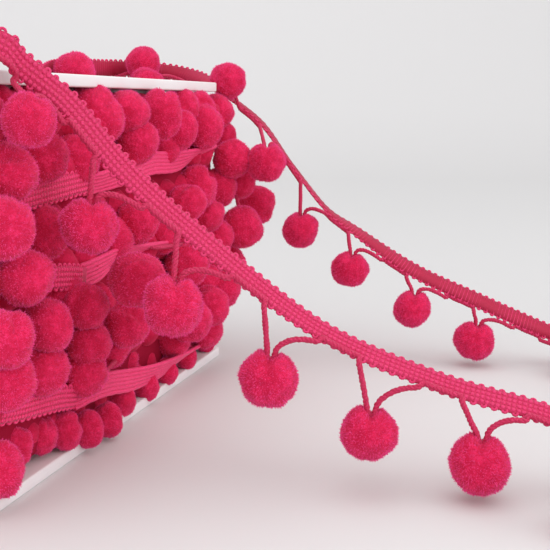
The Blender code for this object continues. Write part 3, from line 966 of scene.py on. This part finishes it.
def plied(points, out, pitch, phase):
    """A ply that winds round a line, one turn in each pitch."""
    run = (points[1] - points[0]).normalized()
    side = run.orthogonal().normalized()
    ply, gone = [], 0.0
    for i, point in enumerate(points):
        after = points[min(i + 1, len(points) - 1)]
        before = points[max(i - 1, 0)]
        run = (after - before).normalized()
        side = (side - run * side.dot(run)).normalized()
        gone += (point - before).length
        turn = 2 * math.pi * gone / pitch + phase
        ply.append(point + (side * math.cos(turn) + run.cross(side) * math.sin(turn)) * out)
    return ply


def cord_mesh(name, lines, thickness, pitch):
    """Plies of yarn twisted together along each line."""
    plies = []
    for line in lines:
        fine = smoothed(line, PLY_STEP)
        for ply in range(CORD_PLIES):
            plies.append(plied(fine, thickness * PLY_OUT, pitch, 2 * math.pi * ply / CORD_PLIES))
    return tube_mesh(name, plies, thickness * PLY_RADIUS, 0)


def add_fringe_cord(route):
    """The fringe cord, its plies twisted together."""
    _, trim, _ = settings()
    cord = trim.cord_thickness / MM
    data = cord_mesh("fringe_cord_plies", [cord_line(route, cord)], cord, trim.cord_twist / MM)
    piece = add_piece("fringe_cord_plies", data, "cord_yarn")
    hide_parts("fringe_cord")
    return piece


# ---- pompoms


def spread_directions(count, chance):
    """Directions spread evenly over a ball, a little shaken."""
    golden = math.pi * (3.0 - math.sqrt(5.0))
    found = []
    for i in range(count):
        z = 1.0 - 2.0 * (i + 0.5) / count
        ring = math.sqrt(1.0 - z * z)
        turn = i * golden
        shaken = Vector((ring * math.cos(turn), ring * math.sin(turn), z)) + Vector(
            [chance.uniform(-0.05, 0.05) for _ in range(3)]
        )
        found.append(shaken.normalized())
    return found


def pile_reach(direction, seed, cleft):
    """How far the cut pile stands out in one direction, for a ball of radius 1.

    The tie draws a groove in across the top, square to the heading, which fades down the sides.
    """
    shift = Vector((seed * 3.7, seed * 1.9, seed * 5.3))
    reach = 0.95 - 0.03 * direction.z
    for spots, height in PILE_LUMPS:
        reach += height * noise.noise(direction * spots + shift)
    upper = max(0.0, direction.z)
    groove = math.exp(-((direction.x / (0.10 + 0.14 * upper)) ** 2))
    reach -= cleft * groove * (0.12 + 0.88 * upper**3)
    reach += 0.25 * cleft * math.exp(-(((abs(direction.x) - 0.45) / 0.3) ** 2)) * upper**4
    return reach


def tuft_blade():
    """One thin tuft of pile: a single tall triangle, with painted sheen paling its tip."""
    blade = bmesh.new()
    bmesh.ops.create_circle(blade, segments=3, radius=1.0, cap_ends=True)
    tip = blade.verts.layers.float.new("reach")
    for vert in blade.verts:
        high = vert.co.y > 0.5
        vert[tip] = 1.0 if high else TUFT_ROOT
        vert.co = (0.0, 0.0, TUFT_LENGTH) if high else (vert.co.x * TUFT_WIDTH, 0.0, 0.0)
    return mesh_from(blade, "tuft")


def pompom_mesh(name, seed, fineness, tufts, cleft):
    """A cut-pile ball of radius 1, tied at +Z, with short tufts all over it."""
    chance = random.Random(seed)
    ball = bmesh.new()
    bmesh.ops.create_icosphere(ball, subdivisions=fineness, radius=1.0)
    reach = ball.verts.layers.float.new("reach")
    for vert in ball.verts:
        direction = vert.co.normalized()
        stands = pile_reach(direction, seed, cleft)
        vert.co = direction * stands
        # Pile sunk below about 0.87 of the radius, as in the tie's groove, gets painted shade; the
        # ball never reaches the tips' painted sheen.
        vert[reach] = max(0.0, min(0.45, (stands - 0.70) / 0.24 * 0.42))
    core = mesh_from(ball, "core")
    tuft = tuft_blade()
    shapes = [(core, Matrix())]
    for direction in spread_directions(tufts, chance):
        lean = Vector([chance.uniform(-TUFT_LEAN, TUFT_LEAN) for _ in range(3)])
        stands = pile_reach(direction, seed, cleft)
        turn = turned_to(direction + lean, chance.uniform(*SPIN))
        size = (1.0, 1.0, chance.uniform(*TUFT_SPREAD))
        shapes.append((tuft, placed(direction * (stands - TUFT_SUNK), turn, size)))
    made = mesh_from(gathered(shapes), name)
    discarded(core, tuft)
    return made


def pompom_kinds(name):
    """The pompoms of one kind that are copied, from its row of KINDS."""
    kind = dict(zip(KIND_COLUMNS, KINDS[name]))
    return [
        pompom_mesh(
            f"{name}_kind_{number}", number + kind["seed"], kind["fineness"], kind["tufts"],
            kind["cleft"] + kind["deeper"] * (number % 3),
        )
        for number in range(kind["first"], kind["first"] + kind["count"])
    ]


def turned_to(towards, spin):
    """A turn that brings +Z to the given way, after a spin about +Z."""
    turn = UP.rotation_difference(towards.normalized()).to_matrix().to_4x4()
    return turn @ Matrix.Rotation(spin, 4, "Z")


def tied_turn(towards, along):
    """A turn that brings +Z to the tie and +X along the heading."""
    return Matrix((along, towards.cross(along), towards)).transposed().to_4x4()


def add_loose_pompoms(route):
    """The pompoms of the loose length, each a piece of its own."""
    kinds = pompom_kinds("loose")
    made = []
    for station, (middle, diameter) in enumerate(pompom_boxes()):
        distance = FIRST_STATION + station * LOOP_PITCH
        data = kinds[station % len(kinds)].copy()
        turn = tied_turn(*tie_way(loop_ends(route, distance), middle))
        data.transform(placed(middle * MM, turn, [diameter / 2 * MM] * 3))
        name = f"pompom_{station + 1:02d}"
        piece = add_piece(f"{name}_pile", data, "cut_pile")
        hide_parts(name)
        made.append(piece)
    discarded(*kinds)
    return made


# ---- wound turns


def wound_core():
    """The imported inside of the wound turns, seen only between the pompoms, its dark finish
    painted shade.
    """
    builder = bmesh.new()
    placed_cube(builder, Vector(CORE_SIZE) * MM, Vector(CORE_MIDDLE) * MM)
    bevelled(builder, builder.edges[:], CORE_CORNER * MM, 3)
    bmesh.ops.subdivide_edges(
        builder, edges=builder.edges[:], cuts=CORE_CUTS, use_grid_fill=True
    )
    for vert in builder.verts:
        push = sum(noise.noise(vert.co * spots) * height for spots, height in CORE_LUMPS)
        vert.co += vert.co.normalized() * (push - CORE_SINK) * MM
    return mesh_from(builder, "wound_core")


def grid_spots(grid):
    """The level, x and z of each spot of a grid."""
    grid = dict(zip(GRID_COLUMNS, grid))
    for level in range(grid["levels"]):
        for step in range(grid["steps"]):
            x = grid["x"] + grid["x_pitch"] * step + (grid["x_pitch"] / 2 if level % 2 else 0.0)
            yield level, x, grid["z"] + grid["z_pitch"] * level


def drawn(chance, spread, *columns):
    """One draw for each named column of a spread, in that order."""
    return [chance.uniform(*spread[column]) for column in columns]


def wound_places(chance):
    """Where the pompoms of the wound turns sit, in three groups."""
    fill, far = [], []
    for level, x, z in grid_spots(FILL_GRID):
        if x < FILL_END:
            aside, up = drawn(chance, FILL_SPREAD, "x", "z")
            out = FILL_OUT if level else FILL_FOOT_OUT
            fill.append((x + aside, out, z + up, FILL_DIAMETER, 1.0))
    levels, *_, lowest, pitch = BACK_GRID
    for level, x, z in grid_spots(BACK_GRID):
        aside, up = drawn(chance, BACK_SPREAD, "x", "z")
        x, z = x + aside, z + up
        if x > BACK_END or (level == levels - 1 and BACK_GAP[0] < x < BACK_GAP[1]):
            continue
        out, *shape = drawn(chance, BACK_SPREAD, "y", "diameter", "tall")
        far.append((x, BACK_OUT + out, min(max(z, LOWEST), HIGHEST), *shape))
    for end in (-1, 1):
        for level in range(levels):
            for y, out, lift in END_COLUMNS:
                up, more, back, *shape = drawn(
                    chance, END_SPREAD, "z", "x", "y", "diameter", "tall"
                )
                z = min(max(lowest + pitch * level + up + lift, LOWEST), HIGHEST)
                far.append((end * (out + more), y + back, z, *shape))
    return [
        [dict(zip(WOUND_COLUMNS, row)) for row in rows] for rows in (WOUND_FRONT, fill, far)
    ]


def wound_shapes(places, kinds, chance):
    """Copies of the pompom kinds put in their places in the wound turns."""
    shapes = []
    for number, place in enumerate(places):
        tall = place["tall"]
        wide = place["diameter"] / (1.0 + tall)
        inwards = Vector([chance.uniform(*spread) for spread in TIE_SPREAD])
        middle = Vector((place["x"], place["y"], place["z"])) * MM
        size = (wide * MM, place["diameter"] / 2 * MM, wide * tall * MM)
        turn = turned_to(inwards, chance.uniform(*SPIN))
        shapes.append((kinds[number % len(kinds)], placed(middle, Matrix(), size) @ turn))
    return shapes


def add_wound_pompoms():
    """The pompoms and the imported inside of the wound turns."""
    chance = random.Random(WOUND_SEED)
    near, far, fill = (pompom_kinds(name) for name in ("near", "far", "fill"))
    front, behind, back = wound_places(chance)
    half = len(front) // 2
    core = add_piece("wound_inside", wound_core(), "wound_dark")
    made = [core]
    for name, places, kinds, finish in (
        ("wound_front_upper", front[:half], near, "cut_pile"),
        ("wound_front_lower", front[half:], near, "cut_pile"),
        ("wound_fill", behind, fill, "pile_shade"),
        ("wound_back", back, far, "cut_pile"),
    ):
        data = mesh_from(gathered(wound_shapes(places, kinds, chance), 16), name)
        made.append(add_piece(name, data, finish))
    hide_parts("wound_trim")
    discarded(*near, *far, *fill)
    return made


def add_wound_bands():
    """The bands of heading and loose cords that show between the wound pompoms."""
    _, trim, _ = settings()
    made = []
    for number, (name, (side, rows)) in enumerate(BANDS.items()):
        route = Route(rows)
        ground = base_ribbon(f"wound_{name}", route, -1.0)
        if side == "face":
            chain = chain_stitches(route, 1.0, random.Random(BAND_SEED + number))
            over = [
                add_piece(f"wound_{name}_chain", chain, "wound_yarn"),
                add_piece(f"wound_{name}_weft", weft_mesh("weft", route), "wound_yarn"),
            ]
        else:
            ridges = tube_mesh("ridges", ridge_lines(route, 1.0), RIDGE_RADIUS)
            over = [add_piece(f"wound_{name}_ridges", ridges, "wound_yarn")]
        made += [ground, *over]
    lines = [[Vector(point) for point in line] for line in PACK_STRINGS]
    cord = trim.cord_thickness / MM
    strings = cord_mesh("wound_strings", lines, cord, trim.cord_twist / MM)
    made.append(add_piece("wound_strings", strings, "cord_yarn"))
    return made


# ---- stage


def add_camera():
    """The camera: place, aim and lens."""
    yaw, pitch = math.radians(CAMERA_YAW), math.radians(CAMERA_PITCH)
    ahead = Vector(
        (math.cos(yaw) * math.cos(pitch), math.sin(yaw) * math.cos(pitch), -math.sin(pitch))
    )
    right = Vector((math.sin(yaw), -math.cos(yaw), 0.0))
    data = bpy.data.cameras.new("camera")
    data.lens = CAMERA_LENS
    data.sensor_width = CAMERA_SENSOR
    data.clip_start = 0.01
    data.clip_end = 50.0
    camera = linked("camera", data)
    turn = Matrix((right, right.cross(ahead), -ahead)).transposed().to_4x4()
    camera.matrix_world = Matrix.Translation(CAMERA_PLACE) @ turn
    bpy.context.scene.camera = camera


def add_soft_light(name, place, size, power):
    """A large rectangular light that faces the object."""
    lamp = bpy.data.lights.new(name, "AREA")
    lamp.shape = "RECTANGLE"
    lamp.size, lamp.size_y = size
    lamp.energy = power
    place = Vector(place)
    turn = (place - Vector(LIGHT_AIM)).to_track_quat("Z", "Y").to_matrix().to_4x4()
    linked(name, lamp).matrix_world = Matrix.Translation(place) @ turn


def add_floor(colour):
    """The floor: level under the object, then curved up behind it."""
    builder = bmesh.new()
    bmesh.ops.create_grid(builder, x_segments=FLOOR_STRIPS, y_segments=1, size=1.0)
    for vert in builder.verts:
        run = vert.co.x * FLOOR_REACH
        turn = min(max((run - SWEEP_START) / SWEEP_RADIUS, 0.0), math.pi / 2)
        rest = max(0.0, run - SWEEP_START - SWEEP_RADIUS * math.pi / 2)
        vert.co = (
            min(run, SWEEP_START) + SWEEP_RADIUS * math.sin(turn),
            vert.co.y * FLOOR_SIDE,
            SWEEP_RADIUS * (1.0 - math.cos(turn)) + rest,
        )
    data = mesh_from(builder, "floor")
    data.materials.append(floor_finish("floor", colour))
    floor = linked("floor", data)
    floor.matrix_world = Matrix.Rotation(math.radians(CAMERA_YAW), 4, "Z")
    data.shade_smooth()


def add_stage():
    """A pale floor, light from all round, soft lights, and the camera."""
    _, _, stage = settings()
    add_floor(stage.floor_colour)
    scene = bpy.context.scene
    world = bpy.data.worlds.new("surround")
    world.use_nodes = True
    sky = world.node_tree.nodes["Background"]
    sky.inputs["Color"].default_value = stage.sky_colour
    sky.inputs["Strength"].default_value = stage.sky_strength
    scene.world = world
    scene.view_settings.view_transform = "Standard"
    for name, place, size, power in LIGHTS:
        add_soft_light(name, place, size, getattr(stage, power))
    add_camera()


# ---- operators and panel


class FRINGE_OT_reel(bpy.types.Operator):
    """Build the reel that the trim is wound on"""

    bl_idname = "fringe.reel"
    bl_label = "Reel"

    def execute(self, context):
        add_reel()
        return {"FINISHED"}


class FRINGE_OT_loose_trim(bpy.types.Operator):
    """Build the loose length: heading, fringe cord and its pompoms"""

    bl_idname = "fringe.loose_trim"
    bl_label = "Loose Trim"

    def execute(self, context):
        _, trim, _ = settings()
        route = Route(ROUTE)
        heading, details = add_heading(route)
        cord = add_fringe_cord(route)
        pompoms = add_loose_pompoms(route)
        return {"FINISHED"}


class FRINGE_OT_wound_pompoms(bpy.types.Operator):
    """Build the pompoms of the wound turns"""

    bl_idname = "fringe.wound_pompoms"
    bl_label = "Wound Pompoms"

    def execute(self, context):
        add_wound_pompoms()
        return {"FINISHED"}


class FRINGE_OT_wound_bands(bpy.types.Operator):
    """Build the bands and cords that show between the wound pompoms"""

    bl_idname = "fringe.wound_bands"
    bl_label = "Wound Bands"

    def execute(self, context):
        add_wound_bands()
        return {"FINISHED"}


class FRINGE_OT_stage(bpy.types.Operator):
    """Build the floor, the lights and the camera"""

    bl_idname = "fringe.stage"
    bl_label = "Stage"

    def execute(self, context):
        add_stage()
        return {"FINISHED"}


class FRINGE_PT_trim(bpy.types.Panel):
    """Settings and build steps of the fringe trim"""

    bl_idname = "FRINGE_PT_trim"
    bl_label = "Fringe Trim"
    bl_space_type = "VIEW_3D"
    bl_region_type = "UI"
    bl_category = "Fringe Trim"

    def draw(self, context):
        layout = self.layout
        for group in settings():
            column = layout.column(align=True)
            for name in group.__annotations__:
                column.prop(group, name)
        for step in STEPS:
            layout.operator(step.bl_idname)


STEPS = (
    FRINGE_OT_reel,
    FRINGE_OT_loose_trim,
    FRINGE_OT_wound_pompoms,
    FRINGE_OT_wound_bands,
    FRINGE_OT_stage,
)
CLASSES = (*GROUPS.values(), *STEPS, FRINGE_PT_trim)


def register():
    for each in CLASSES:
        bpy.utils.register_class(each)
    for name, group in GROUPS.items():
        setattr(bpy.types.Scene, name, bpy.props.PointerProperty(type=group))


def unregister():
    for name in GROUPS:
        delattr(bpy.types.Scene, name)
    for each in reversed(CLASSES):
        bpy.utils.unregister_class(each)


def main():
    register()
    bpy.ops.fringe.reel()
    bpy.ops.fringe.loose_trim()
    bpy.ops.fringe.wound_pompoms()
    bpy.ops.fringe.wound_bands()
    bpy.ops.fringe.stage()


if __name__ == "__main__":
    main()
